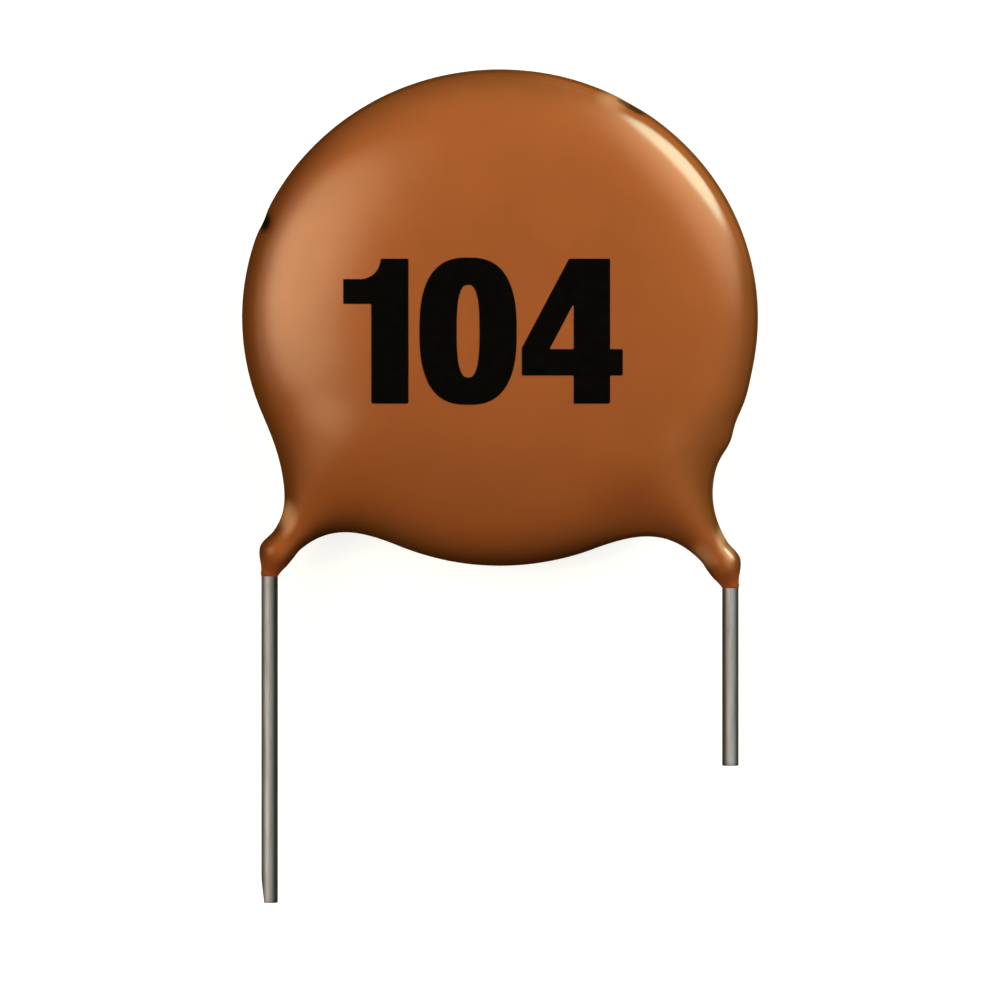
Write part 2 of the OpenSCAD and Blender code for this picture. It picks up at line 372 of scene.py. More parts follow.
def rounded(corners, radii):
    """A line through the corners with each inner corner rounded by an arc of its radius.

    An arc goes from the point where the bend starts, by the turn times its share, around the centre
    that lies one radius to the inside.
    """
    line = [corners[:1]]
    for before, corner, after, radius in zip(corners, corners[1:], corners[2:], radii):
        along, away = unit(corner - before), unit(after - corner)
        turn = np.arccos(along @ away)
        start = corner - bend_cut(before, corner, after, radius) * along
        inside = unit(away - (away @ along) * along)
        angle = np.linspace(0, turn, WIRE_BEND_STEPS)[:, None]
        line.append(start + radius * (inside * (1 - np.cos(angle)) + along * np.sin(angle)))
    return np.concatenate(line + [corners[-1:]])


def thread(line, step):
    """Points about one step apart along a line, keeping the line's own points."""
    gaps = np.linalg.norm(np.diff(line, axis=0), axis=1)
    run = np.concatenate([[0], np.cumsum(gaps)])
    stations = np.unique(np.concatenate([run, np.arange(0, run[-1], step)]).round(9))
    stations = stations[np.concatenate([[True], np.diff(stations) > step / 50])]
    return np.stack([np.interp(stations, run, line[:, k]) for k in range(3)], -1), stations


def wire_surface(line, radius):
    """Rings of a round tube along a line with slightly rounded ends.

    Each point is the line's point plus the radius times the cosine and sine of its angle along two
    directions square to the line. At each end the radius shrinks by the rounding over three rings.
    """
    centre, run = thread(line, WIRE_STEP)
    tangent = unit(np.gradient(centre, run, axis=0))
    corner = WIRE_EDGE * np.array([0, 0.3, 1])
    start = centre[:1] + corner[:, None] * tangent[:1]
    end = centre[-1:] - corner[::-1, None] * tangent[-1:]
    keep = (run > 1.5 * WIRE_EDGE) & (run < run[-1] - 1.5 * WIRE_EDGE)
    shrink = radius - WIRE_EDGE * np.array([1, 0.3, 0])
    centre = np.concatenate([start, centre[keep], end])
    tangent = np.concatenate([tangent[[0] * 3], tangent[keep], tangent[[-1] * 3]])
    size = np.concatenate([shrink, np.full(keep.sum(), radius), shrink[::-1]])
    across = unit(np.cross(UP, tangent))
    rise = np.cross(tangent, across)
    angle = np.linspace(0, 2 * np.pi, WIRE_AROUND, endpoint=False)
    return centre[:, None] + size[:, None, None] * (
        across[:, None] * np.cos(angle)[:, None] + rise[:, None] * np.sin(angle)[:, None])


def pinched(rings, leads, tip):
    """Rings with the side near the tip cut back to a flat that slants from the nip's depth out to nothing."""
    x, y = rings[..., 0], rings[..., 1]
    flat = leads.pitch / 2 + leads.radius - leads.nip_depth + (y - tip) * (leads.nip_depth / leads.nip_run)
    cut = rings.copy()
    cut[..., 0] = np.where(y < tip + NIP_REACH, np.minimum(x, flat), x)
    return cut


def flank_share(rings, leads, shine):
    """How far each point of the tube lies from its palest line, and 0 for the middles of its two ends.

    It is the sine of the angle around the tube from the line, which the shine turns away from the front. It
    sets how far painted shade darkens the flanks of the wire.
    """
    way = np.array([np.sin(np.radians(shine)), 0, -np.cos(np.radians(shine))])
    rise = (rings - rings.mean(1, keepdims=True)) @ way / leads.radius
    return np.append(np.sqrt(np.clip(1 - rise * rise, 0, 1)).ravel(), [0, 0])


def tube_mesh(rings):
    """Points and faces of a closed tube from its rings, with a fan to the middle of each end ring."""
    count, around = rings.shape[:2]
    points = np.concatenate([rings.reshape(-1, 3), rings[[0, -1]].mean(1)])
    index = np.arange(count * around).reshape(count, around)
    following = np.roll(index, -1, 1)
    sides = np.stack([index[:-1], following[:-1], following[1:], index[1:]], -1).reshape(-1, 4)
    first = np.stack([following[0], index[0], np.full(around, count * around)], -1)
    last = np.stack([index[-1], following[-1], np.full(around, count * around + 1)], -1)
    return points, sides.tolist() + first.tolist() + last.tolist()


# Resin skin

def blend(a, b, k):
    """Joins two distances with a soft web of reach k."""
    h = np.maximum(k - np.abs(a - b), 0) / k
    return np.minimum(a, b) - h * h * k / 4


def limb(p, a, b, r1, r2):
    """Distance from p to a round limb from a to b whose radius swells evenly from r1 to r2."""
    d = b - a
    t = np.clip((p - a) @ d / (d @ d), 0, 1)
    return np.linalg.norm(p - a - t[..., None] * d, axis=-1) - (r1 + (r2 - r1) * t)


def resin_form(coating, leads):
    """Named lengths of the skin, and the centres of the limbs over the two wires around the middle plane."""
    form = SimpleNamespace(a=coating.half_width, b=coating.half_height, t=coating.half_thickness,
                           fullness=coating.fullness, web=coating.web, sink=coating.sink,
                           ripple=coating.ripple)
    form.shoulder = (form.a + form.b) / 2 - coating.flat / 2
    form.radii = leads.radius + np.array([coating.lip_cover, coating.bend_cover, coating.root_cover])
    lean = lean_way(leads)
    form.legs = []
    for drop in (leads.front_drop, leads.rear_drop):
        tip, bend, face, _ = wire_line(leads, drop, FRONT_TIP)
        lip_y = bend[1] - bend_cut(tip, bend, face, leads.leg_bend) - LIP_DROP
        root = bend + reach(bend, lean, DISC_RADIUS - ROOT_INSET) * lean + leads.height / 2 * UP
        form.legs.append(np.array([[bend[0], lip_y + LIP_ROUND, 0], bend + BEND_SHIFT, root]))
    return form


def pillow(p, form):
    """Distance to the pillow over the disc: an oval with a flat middle and a full, round shoulder."""
    x, y = p[..., 0], p[..., 1]
    e = np.hypot(x / form.a, y / form.b)
    g = np.hypot(x / form.a ** 2, y / form.b ** 2)
    d = np.where(g > 0, e * (e - 1) / np.maximum(g, 1e-9), -form.b)
    u = np.maximum(0, 1 + d / form.shoulder)
    w = np.abs(p[..., 2]) / form.t
    soft = u * u / (u * u + w * w + 0.0001)
    return (np.sqrt(u ** form.fullness + w * w) - 1) * (
        form.t + (2 * form.shoulder / form.fullness - form.t) * soft)


def leg(p, points, form):
    """Distance to the resin over one wire: a limb down to the bend and one from there to the lip."""
    lip, bend, root = points
    r = form.radii
    return blend(limb(p, lip, bend, r[0], r[1]), limb(p, bend, root, r[1], r[2]), BEND_WEB)


# Pits in the skin, darkened inside, which at the upper right paints the shade of the dents: place from the
# middle plane, depth and reach in mm, and the share of the dark colour
PITS = (
    ((-6.4, 2.6, 0.36), 0.06, (0.2, 0.28, 0.5), 1),
    ((3.4, 5.9, 0.3), 0.035, (0.22, 0.14, 0.24), 0.7),
    ((3.6, 5.77, 0.3), 0.04, (0.22, 0.15, 0.26), 0.7),
    ((3.81, 5.63, 0.3), 0.035, (0.21, 0.14, 0.24), 0.7),
)
# Dips of the edge, and swellings of it with a depth below zero: place, depth and reach in mm
EDGE_DIPS = (
    ((6.32, -3.42, 0), -0.125, (0.42, 0.5, 0.7)),
    ((6.75, -2.35, 0), -0.045, (0.5, 0.6, 0.9)),
    ((-6.1, -5.3, 0), 0.1, (0.5, 0.7, 1.0)),
)
# Painted highlights, paler patches of the skin where highlights and glows fall: place and reach in mm,
# and share of the paler colour
PAINTED_HIGHLIGHTS = (
    ((3.04, 5.86, 0.35), (0.5, 0.32, 0.6), 0.42),
    ((-5.77, -5.38, 0.6), (0.28, 0.45, 0.9), 0.65),
    ((5.42, -6.25, 0.35), (0.25, 0.25, 0.4), 0.24),
    ((5.55, -6.4, 0.35), (0.25, 0.25, 0.4), 0.24),
    ((5.68, -6.55, 0.35), (0.25, 0.25, 0.4), 0.24),
    ((6.0, -6.02, 0.4), (0.17, 0.42, 0.6), 0.45),
    ((6.21, -6.45, 0.4), (0.18, 0.35, 0.6), 0.4),
)


def waves(p):
    """Slow waves between -1 and 1: three crossed sines along slanted directions."""
    x, y, z = (p[..., k] / MM for k in range(3))
    return (np.sin(1.9 * x + 0.7 * y + 0.6 * z + 0.4) * np.sin(0.5 * x - 1.6 * y + 1.1)
            + np.sin(2.7 * x - 1.3 * y + 2.0 * z + 2.2) * np.sin(1.2 * x + 2.9 * y + 0.3)
            + np.sin(0.9 * x + 0.4 * y + 1.7) * np.sin(0.3 * x + 1.1 * y + 5.1)) / 3


def resin(p, form):
    """Distance to the finished skin, which is zero on it.

    It is the pillow joined to the two legs by soft webs, less a small sink of both faces, slow waves, and
    the pits, dips and swellings, each a bell-shaped hollow or rise.
    """
    front, rear = form.legs
    body = blend(blend(pillow(p, form), leg(p, front, form), form.web),
                 leg(p * TURN_OVER, rear, form), form.web)
    z = p[..., 2]
    body = body + form.sink * (smooth(0, form.t, z) + BACK_SINK * smooth(0, form.t, -z))
    body = body + form.ripple * (1 + waves(p)) / 2
    for place, depth, size in [pit[:3] for pit in PITS] + list(EDGE_DIPS):
        off = (p - np.array(place) * MM) / (np.array(size) * MM)
        body = body + depth * MM * np.exp(-(off * off).sum(-1))
    return body


def spoke(m, d, form, far, halvings=32):
    """Distance from m along d to the skin, by halving."""
    near, far = np.zeros(m.shape[:-1]), np.full(m.shape[:-1], far)
    for _ in range(halvings):
        middle = (near + far) / 2
        inside = resin(m + middle[..., None] * d, form) < 0
        near, far = np.where(inside, middle, near), np.where(inside, far, middle)
    return (near + far) / 2


def slopes(p, form, step=0.002 * MM):
    """Outward directions of the skin at the points p, from differences of the distance."""
    return unit(np.stack([resin(p + step * axis, form) - resin(p - step * axis, form)
                          for axis in np.eye(3)], -1))


# Steps along the spine of the skin: from the middle to a leg's root, its bend and its lip, around the lip
# and around half of the crown, and rows from the edge to the middle of a face
BODY_STEPS, LEG_STEPS, LIP_STEPS, CAP_STEPS, CROWN_STEPS, ROWS = 44, 40, 12, 22, 170, 46
# Angle from the middle of the bottom edge to the web beside a leg, in degrees
WEB_TURN = 25


def leg_ribs(points, form):
    """Spine positions along one leg, and the station and heading of each rib of that half of the skin.

    The ribs start at the top of the crown, go down the outside of the leg, around its lip and back along
    its inside to the middle of the bottom edge. Those inside the body point at the bottom edge, up to the
    web's turn away from its middle.
    """
    lip, bend, root = points
    q = np.array([[0, 0, 0], root * [1, 1, 0.5], bend, lip])
    h = heading(np.diff(q, axis=0))
    c = np.concatenate([np.arange(BODY_STEPS) / BODY_STEPS, 1 + np.arange(LEG_STEPS) / LEG_STEPS,
                        2 + np.arange(LIP_STEPS + 1) / LIP_STEPS])
    spine = np.stack([np.interp(c, range(4), q[:, k]) for k in range(3)], -1)
    quarter = np.pi / 2
    outer = np.interp(c, range(4), [h[0], (h[0] + h[1]) / 2, (h[1] + h[2]) / 2, h[2]]) + quarter
    turn = np.radians(WEB_TURN) * np.minimum(c, 1)
    bottom = np.stack([form.a * np.sin(turn), -form.b * np.cos(turn), 0 * turn], -1)
    inner = np.where(c < 1, heading(bottom - spine), np.interp(
        c, [1, 2, 3], [heading(bottom[-1] - q[1]), (h[1] + h[2]) / 2 - quarter, h[2] - quarter]))
    last = len(c) - 1
    crown = np.linspace(quarter, outer[0], CROWN_STEPS, endpoint=False)
    cap = np.linspace(outer[-1], inner[-1], CAP_STEPS + 1)[1:-1]
    order = np.arange(len(c))
    stations = np.concatenate([0 * np.arange(CROWN_STEPS), order, 0 * np.arange(CAP_STEPS - 1) + last,
                               order[:0:-1]])
    headings = np.concatenate([crown, outer, cap, inner[:0:-1]])
    return spine, stations, headings


def resin_skin(form):
    """Points and faces of the closed skin, around the middle plane.

    Ribs stand around a branching spine. On each rib the rows fan from the edge over the shoulder and
    across the flat to the spine, spaced evenly along that section, and a spoke in each direction finds
    the skin. Ribs that share a station meet in its two poles.
    """
    spine_f, station_f, heading_f = leg_ribs(form.legs[0], form)
    spine_r, station_r, heading_r = leg_ribs(form.legs[1], form)
    last = len(spine_f) - 1
    poles = np.concatenate([spine_f, spine_r[1:] * TURN_OVER])
    pole = np.concatenate([station_f, [0], np.where(station_r > 0, station_r + last, 0)[:0:-1]])
    angle = np.concatenate([heading_f, [-np.pi / 2], np.pi - heading_r[:0:-1]])
    middle = poles[pole]
    out = np.stack([np.cos(angle), np.sin(angle), 0 * angle], -1)
    far = form.a + 2 * MM
    edge = spoke(middle, out, form, far)[:, None]
    tops = spoke(poles, UP + 0 * poles, form, far)
    feet = spoke(poles, -UP + 0 * poles, form, far)
    row = np.arange(-ROWS, ROWS + 1)
    high = np.where(row < 0, feet[pole][:, None], tops[pole][:, None])
    level = np.maximum(edge - form.shoulder, 0)
    across = edge - level
    arc = np.pi / 2 * np.sqrt((across ** 2 + high ** 2) / 2)
    run = np.abs(row) / (ROWS + 1) * (arc + level)
    t = np.pi / 2 * np.minimum(run / arc, 1)
    x = level + across * np.maximum(np.cos(t), 0) ** (2 / form.fullness) - np.maximum(run - arc, 0)
    z = np.sign(row) * high * np.sin(t)
    fan = unit(x[..., None] * out[:, None] + z[..., None] * UP)
    centre = np.broadcast_to(middle[:, None], fan.shape)
    grid = centre + spoke(centre, fan, form, far)[..., None] * fan
    count, rows = grid.shape[:2]
    points = np.concatenate([grid.reshape(-1, 3), poles - feet[:, None] * UP, poles + tops[:, None] * UP])
    index = np.arange(count * rows).reshape(count, rows)
    after = np.roll(index, -1, 0)
    faces = np.stack([index[:, :-1], index[:, 1:], after[:, 1:], after[:, :-1]], -1).reshape(-1, 4).tolist()
    for edge_row, ends, flip in ((0, count * rows + pole, -1), (-1, count * rows + len(poles) + pole, 1)):
        near, far_end = ends, np.roll(ends, -1)
        fans = np.stack([index[:, edge_row], near, after[:, edge_row]], -1)[:, ::flip]
        faces += fans.tolist()
        split = near != far_end
        fills = np.stack([after[:, edge_row], near, far_end], -1)[split][:, ::flip]
        faces += fills.tolist()
    return points, faces


# Printed number

# Height of the digits as they are drawn, width of the whole number, and left edges of the nought and the
# four, in mm
DIGIT_HEIGHT, NUMBER_WIDTH, NOUGHT_LEFT, FOUR_LEFT = 3.91, 7.54, 2.06, 4.82
# Cells around the number on its grid
MARGIN = 2


def box_field(u, v, left, right, low, high):
    """Below zero inside a rectangle."""
    return np.maximum(np.maximum(left - u, u - right), np.maximum(low - v, v - high))


def oval_field(u, v, a, b, power):
    """Below zero inside an oval with half axes a and b, squarer with a higher power."""
    return ((np.abs(u / a) ** power + np.abs(v / b) ** power) ** (1 / power) - 1) * min(a, b)


def one_field(u, v):
    """Digit one, 1.76 wide and 3.91 high: a stem and a flag with a hollow top."""
    hollow = 0.55 - np.hypot(u - 0.46, v - DIGIT_HEIGHT)
    head = np.maximum(box_field(u, v, 0.46, 1.76, 2.69, DIGIT_HEIGHT), hollow)
    flag = np.maximum(box_field(u, v, 0, 0.6, 2.69, 3.36), hollow)
    stem = np.maximum(box_field(u, v, 0.76, 1.76, 0, DIGIT_HEIGHT), hollow)
    return np.minimum(np.minimum(head, flag), stem)


def nought_field(u, v):
    """Digit nought, 2.62 wide: an oval with a narrow opening."""
    u, v = u - 1.31, v - DIGIT_HEIGHT / 2
    return np.maximum(oval_field(u, v, 1.31, 1.985, 2.6), -oval_field(u, v, 0.31, 1.25, 2.7))


def four_field(u, v):
    """Digit four, 2.72 wide: a stem, a bar and a sloping side, with a three-cornered opening."""
    slope = 0.884 * u - 0.468 * (v - 1.5)
    side = np.maximum(box_field(u, v, 0, 2.38, 0.76, DIGIT_HEIGHT), -slope)
    bar = box_field(u, v, 0, 2.72, 0.76, 1.47)
    stem = box_field(u, v, 1.4, 2.38, 0, DIGIT_HEIGHT)
    opening = np.maximum(np.maximum(u - 1.4, 1.47 - v), 0.67 - slope)
    return np.minimum(np.maximum(np.minimum(side, bar), -opening), stem)


def number_field(u, v):
    """Below zero inside the number, in mm from its lower left corner."""
    return np.minimum(np.minimum(one_field(u, v), nought_field(u - NOUGHT_LEFT, v)),
                      four_field(u - FOUR_LEFT, v))


# For each pattern of inside corners of a cell: the outline pieces of the part inside, by corner 0 to 3
# and edge 4 to 7, counterclockwise, where edge 4 is between corners 0 and 1
CELL_CASES = {
    1: ((0, 4, 7),), 2: ((1, 5, 4),), 3: ((0, 1, 5, 7),), 4: ((2, 6, 5),), 5: ((0, 4, 7), (2, 6, 5)),
    6: ((1, 2, 6, 4),), 7: ((0, 1, 2, 6, 7),), 8: ((3, 7, 6),), 9: ((0, 4, 6, 3),),
    10: ((1, 5, 4), (3, 7, 6)), 11: ((0, 1, 5, 6, 3),), 12: ((2, 3, 7, 5),), 13: ((0, 4, 5, 2, 3),),
    14: ((1, 2, 3, 7, 4),), 15: ((0, 1, 2, 3),),
}


def cut_cells(field, u, v):
    """Flat points, faces and outline of the area where a field on a grid is below zero.

    Each cell keeps the part of it that is inside. Its outline crosses an edge where the field, taken as
    straight between the corners, is zero.
    """
    ny, nx = field.shape
    corner = np.arange(ny * nx).reshape(ny, nx)
    cu, cv = np.meshgrid(u, v)
    flat_u = [cu.ravel()]
    flat_v = [cv.ravel()]

    def crossing(one, two):
        """Adds the points where the field is zero on the edges between two sets of corners."""
        f1, f2 = field.ravel()[one], field.ravel()[two]
        t = np.clip(f1 / np.where(f1 == f2, 1, f1 - f2), 0.03, 0.97)
        first = sum(len(x) for x in flat_u)
        flat_u.append((cu.ravel()[one] * (1 - t) + cu.ravel()[two] * t).ravel())
        flat_v.append((cv.ravel()[one] * (1 - t) + cv.ravel()[two] * t).ravel())
        return first + np.arange(one.size).reshape(one.shape)

    level = crossing(corner[:, :-1], corner[:, 1:])
    upright = crossing(corner[:-1], corner[1:])
    marks = np.stack([corner[:-1, :-1], corner[:-1, 1:], corner[1:, 1:], corner[1:, :-1],
                      level[:-1], upright[:, 1:], level[1:], upright[:, :-1]], -1)
    inside = field < 0
    case = (inside[:-1, :-1] * 1 + inside[:-1, 1:] * 2 + inside[1:, 1:] * 4 + inside[1:, :-1] * 8)
    faces, rim = [], []
    for pattern, outlines in CELL_CASES.items():
        cells = marks[case == pattern]
        for outline in outlines:
            faces.append(cells[:, outline])
            pairs = zip(outline, outline[1:] + outline[:1])
            rim += [cells[:, pair] for pair in pairs if min(pair) > 3]
    used, index = np.unique(np.concatenate([f.ravel() for f in faces]), return_inverse=True)
    flat = np.stack([np.concatenate(flat_u)[used], np.concatenate(flat_v)[used]], -1)
    sizes = np.cumsum([f.size for f in faces])[:-1]
    faces = [part.reshape(f.shape) for part, f in zip(np.split(index, sizes), faces)]
    return flat, faces, np.searchsorted(used, np.concatenate(rim))


def number_film(number, form):
    """Points and faces of the ink film, around the middle plane.

    The number is cut from a fine grid and laid on the front of the skin. Its top lies one film above the
    skin, its underside is bedded in it, and a wall closes the outline.
    """
    scale = number.height / DIGIT_HEIGHT
    u, v = (np.arange(-MARGIN, span * MM / number.cell + MARGIN + 1) * number.cell / MM
            for span in (NUMBER_WIDTH, DIGIT_HEIGHT))
    flat, patches, rim = cut_cells(number_field(*np.meshgrid(u, v)), u, v)
    place = np.zeros((len(flat), 3))
    place[:, :2] = flat * scale + np.array([number.left, number.base])
    rise = spoke(place, UP + 0 * place, form, 4 * MM)[:, None] * UP
    top = place + rise + number.film * UP
    under = place + rise - number.bedding * UP
    lift = len(flat)
    faces = [f for patch in patches for f in patch.tolist()]
    faces += [f for patch in patches for f in (patch[:, ::-1] + lift).tolist()]
    faces += np.stack([rim[:, 1], rim[:, 0], rim[:, 0] + lift, rim[:, 1] + lift], -1).tolist()
    return np.concatenate([top, under]), faces


# Materials

def feed(tree, node, inputs):
    """Gives each named input of a node a value or a link."""
    for key, value in inputs.items():
        if isinstance(value, bpy.types.NodeSocket):
            tree.links.new(value, node.inputs[key])
        else:
            node.inputs[key].default_value = value


def put(tree, kind, inputs=None, **settings):
    """Adds a node with its own settings and its inputs."""
    made = tree.nodes.new(kind)
    for key, value in settings.items():
        setattr(made, key, value)
    feed(tree, made, inputs or {})
    return made


def new_material(name):
    """A material with an empty node tree, its shader and its output."""
    material = bpy.data.materials.new(name)
    material.use_nodes = True
    tree = material.node_tree
    tree.nodes.clear()
    shader = put(tree, "ShaderNodeBsdfPrincipled")
    put(tree, "ShaderNodeOutputMaterial", {"Surface": shader.outputs[0]})
    return material, tree, shader


def millimetres(tree, stretch=(1, 1, 1), centre=(0, 0, 0)):
    """Object coordinates in millimetres from a centre, stretched along the axes."""
    coordinates = put(tree, "ShaderNodeTexCoord").outputs["Object"]
    return put(tree, "ShaderNodeMapping", {
        "Vector": coordinates, "Scale": [s / MM for s in stretch],
        "Location": [-c * s for c, s in zip(centre, stretch)]}).outputs[0]


def grain(tree, vector, scale, detail=3.0, roughness=0.55):
    """A noise value at a number of grains per millimetre."""
    return put(tree, "ShaderNodeTexNoise", {
        "Vector": vector, "Scale": scale, "Detail": detail, "Roughness": roughness}).outputs["Fac"]


def ranged(tree, value, low, high, to_low, to_high):
    """Maps a value from one range to another."""
    return put(tree, "ShaderNodeMapRange", {
        "Value": value, "From Min": low, "From Max": high, "To Min": to_low,
        "To Max": to_high}, interpolation_type="SMOOTHSTEP").outputs[0]


def tinted(tree, factor, one, two):
    """Mixes two colours by a factor."""
    made = put(tree, "ShaderNodeMix", data_type="RGBA")
    for socket, value in (("Factor_Float", factor), ("A_Color", one), ("B_Color", two)):
        target = next(s for s in made.inputs if s.identifier == socket)
        if isinstance(value, bpy.types.NodeSocket):
            tree.links.new(value, target)
        else:
            target.default_value = value if socket == "Factor_Float" else (*value, 1)
    return next(s for s in made.outputs if s.identifier == "Result_Color")


def bumped(tree, shader, height, distance, strength=1.0):
    """Gives a shader a bump from a height."""
    bump = put(tree, "ShaderNodeBump", {"Height": height, "Distance": distance, "Strength": strength})
    tree.links.new(bump.outputs[0], shader.inputs["Normal"])


def attribute(tree, name):
    """A named value of the mesh."""
    return put(tree, "ShaderNodeAttribute", attribute_name=name).outputs["Fac"]


def along(tree, place, direction):
    """How far a place lies along a direction."""
    return put(tree, "ShaderNodeVectorMath", {0: place, 1: direction},
               operation="DOT_PRODUCT").outputs["Value"]


def spot(tree, place, size):
    """Distance from a place seen from the middle plane, in shares of a size along each axis."""
    x, y, z = place
    off = millimetres(tree, [1 / s for s in size], (x, y, z + MIDDLE / MM))
    return put(tree, "ShaderNodeVectorMath", {0: off}, operation="LENGTH").outputs["Value"]


def combined(tree, kind, one, two):
    """Two values joined by a kind of arithmetic."""
    return put(tree, "ShaderNodeMath", {0: one, 1: two}, operation=kind).outputs[0]


def product(tree, *values):
    """All values multiplied."""
    return reduce(lambda one, two: combined(tree, "MULTIPLY", one, two), values)


def largest(tree, *values):
    """The largest of all values."""
    return reduce(lambda one, two: combined(tree, "MAXIMUM", one, two), values)


# Directions in the plane of the disc along which the regions of the resin's painted shade and gloss are measured
REGIONS = {
    "height": (0.26, 1, 0), "right": (1, 0.6, 0), "upper_right": (0.66, 0.75, 0),
    "lower_right": (0.6, -1, 0), "lower_left": (-0.6, -1, 0), "right_leg": (1, -0.6, 0),
}
# Painted shade over the front wire, and the web beside it where the painted rim shade is weaker: place and reach in mm
PAINTED_SHADE_SPOT = ((4.3, -3.2, 1.2), (1.9, 1.6, 2.2))
WEB_SPOT = ((3.6, -5.25, 0.8), (1.7, 1, 2))


def resin_colour(tree, coating, place, marks):
    """Colour of the resin before its pits.

    It is a cloudy brown with faint runs, with painted shade towards the bottom, over the front wire and around
    the rim, red-brown at the lips, and with painted highlights in pale patches.
    """
    base = np.array(coating.resin)
    cloud = grain(tree, place, 0.45)
    made = tinted(tree, ranged(tree, cloud, 0.3, 0.7, 0, 1), base * 0.97, base * 1.03)
    run = grain(tree, millimetres(tree, (1.6, 0.35, 1.6)), 1.0)
    made = tinted(tree, ranged(tree, run, 0.45, 0.75, 0, 0.1), made, base * 0.8)
    # Painted shade towards the bottom
    made = tinted(tree, ranged(tree, marks.height, 0.6, -6.2, 0, 1), made, coating.bottom_shade)
    # Painted shade over the front wire
    made = tinted(tree, ranged(tree, spot(tree, *PAINTED_SHADE_SPOT), 0, 1.3, 0.7, 0), made, coating.shade)
    # Painted shade around the steep rim, weaker at the lit upper right, on the right and in the web, darkest at the
    # edge
    rim_shade = product(tree, ranged(tree, marks.steep, 0.26, 0.9, 0, 0.92),
                   ranged(tree, marks.upper_right, 4.9, 6.3, 1, 0.5),
                   largest(tree, ranged(tree, marks.right, -4, 0, 1, 0.85),
                           ranged(tree, marks.steep, 0.76, 0.86, 0, 1)),
                   ranged(tree, spot(tree, *WEB_SPOT), 0.3, 1.3, 0.5, 1))
    rim_shade = largest(tree, rim_shade, ranged(tree, marks.steep, 0.76, 0.9, 0, 0.8))
    made = tinted(tree, rim_shade, made, coating.rim)
    made = tinted(tree, ranged(tree, marks.lip, 0, 1, 0, 0.85), made, coating.lip)
    # Painted highlights: pale patches where highlights and glows fall
    for where, size, pale in PAINTED_HIGHLIGHTS:
        made = tinted(tree, ranged(tree, spot(tree, where, size), 0.2, 1.3, pale, 0), made, coating.pale)
    return made


def resin_gloss(tree, coating, marks, pits):
    """Strengths of the smooth gloss and of the satin lustre under it.

    Both fade towards the steep rim, in the pits, at the bottom, at the lips and at the lower left, and are
    weaker at the lower right. At the upper right and on the right leg the gloss goes on down the shoulder.
    """
    full = largest(tree, product(tree, ranged(tree, marks.steep, 0.54, 0.7, 1, 0),
                                 ranged(tree, marks.lower_right, 4.3, 5.7, 1, 0.45)),
                   ranged(tree, marks.upper_right, 4.9, 5.8, 0, 1),
                   ranged(tree, marks.right_leg, 8.9, 9.4, 0, 1))
    clear = product(tree, *pits, ranged(tree, marks.height, -4.5, -6.5, 1, 0.7),
                    ranged(tree, marks.lip, 0.2, 0.8, 1, 0.3),
                    ranged(tree, marks.lower_left, 4.9, 6.4, 1, 0.45))
    gloss = product(tree, ranged(tree, marks.steep, 0.67, 0.72, coating.gloss, 0), full, clear)
    lustre = product(tree, ranged(tree, marks.steep, 0.6, 0.85, coating.lustre, 0),
                     ranged(tree, marks.lower_right, 4.3, 5.7, 1, 0.5), clear)
    return gloss, lustre


def resin_material(coating):
    """Glossy dipped resin, nearly black in its pits, with a faint orange peel under its gloss."""
    material, tree, shader = new_material("dipped_resin")
    place = millimetres(tree)
    marks = SimpleNamespace(steep=attribute(tree, "steep"), lip=attribute(tree, "lip"),
                            **{name: along(tree, place, way) for name, way in REGIONS.items()})
    pits = [ranged(tree, spot(tree, where, size), 0.47, 1.4, 1 - darkening, 1) for where, _, size, darkening in PITS]
    made = resin_colour(tree, coating, place, marks)
    # Darkens each pit; at the upper right this paints the shade inside the dents
    for pit in pits:
        made = tinted(tree, pit, coating.pit, made)
    gloss, lustre = resin_gloss(tree, coating, marks, pits)
    haze = grain(tree, place, 1.3, 4)
    rough = ranged(tree, haze, 0.3, 0.7, coating.roughness - 0.04, coating.roughness + 0.04)
    feed(tree, shader, {"Base Color": made, "Roughness": rough, "Metallic": lustre, "Coat Weight": gloss,
                        "Coat Roughness": 0.17, "Specular IOR Level": 0.0})
    bumped(tree, shader, grain(tree, place, 2.2, 2, 0.4), 0.004 * MM, 0.35)
    return material


def tin_material(leads):
    """Satin tinned wire: dull grey with fine streaks along it, and flanks darkened with painted shade."""
    material, tree, shader = new_material("tinned_wire")
    streak = grain(tree, millimetres(tree, (1, 0.05, 1)), 14, 4)
    patch = grain(tree, millimetres(tree, (1, 0.5, 1)), 1.4, 3)
    made = tinted(tree, ranged(tree, streak, 0.35, 0.75, 0, 0.55), leads.tin, leads.tarnish)
    made = tinted(tree, ranged(tree, patch, 0.45, 0.75, 0, 0.3), made, leads.tarnish)
    # Painted shade on the flanks of the wire, away from its palest line
    made = tinted(tree, ranged(tree, attribute(tree, "flank_shade"), 0, 0.9, 0, 1), made, leads.flank_shade)
    rough = ranged(tree, patch, 0.3, 0.7, leads.roughness - 0.05, leads.roughness + 0.08)
    feed(tree, shader, {"Base Color": made, "Roughness": rough, "Metallic": 0.25, "Specular IOR Level": 0.05})
    bumped(tree, shader, streak, 0.002 * MM, 0.5)
    return material


def ink_material(number):
    """Matt black printed ink, a little uneven."""
    material, tree, shader = new_material("printed_ink")
    spread = grain(tree, millimetres(tree), 3.0, 4)
    ink = np.array(number.ink)
    feed(tree, shader, {"Base Color": tinted(tree, ranged(tree, spread, 0.3, 0.75, 0, 1), ink, ink * 2),
                        "Roughness": ranged(tree, spread, 0.3, 0.7, 0.55, 0.7),
                        "Specular IOR Level": 0.015})
    return material


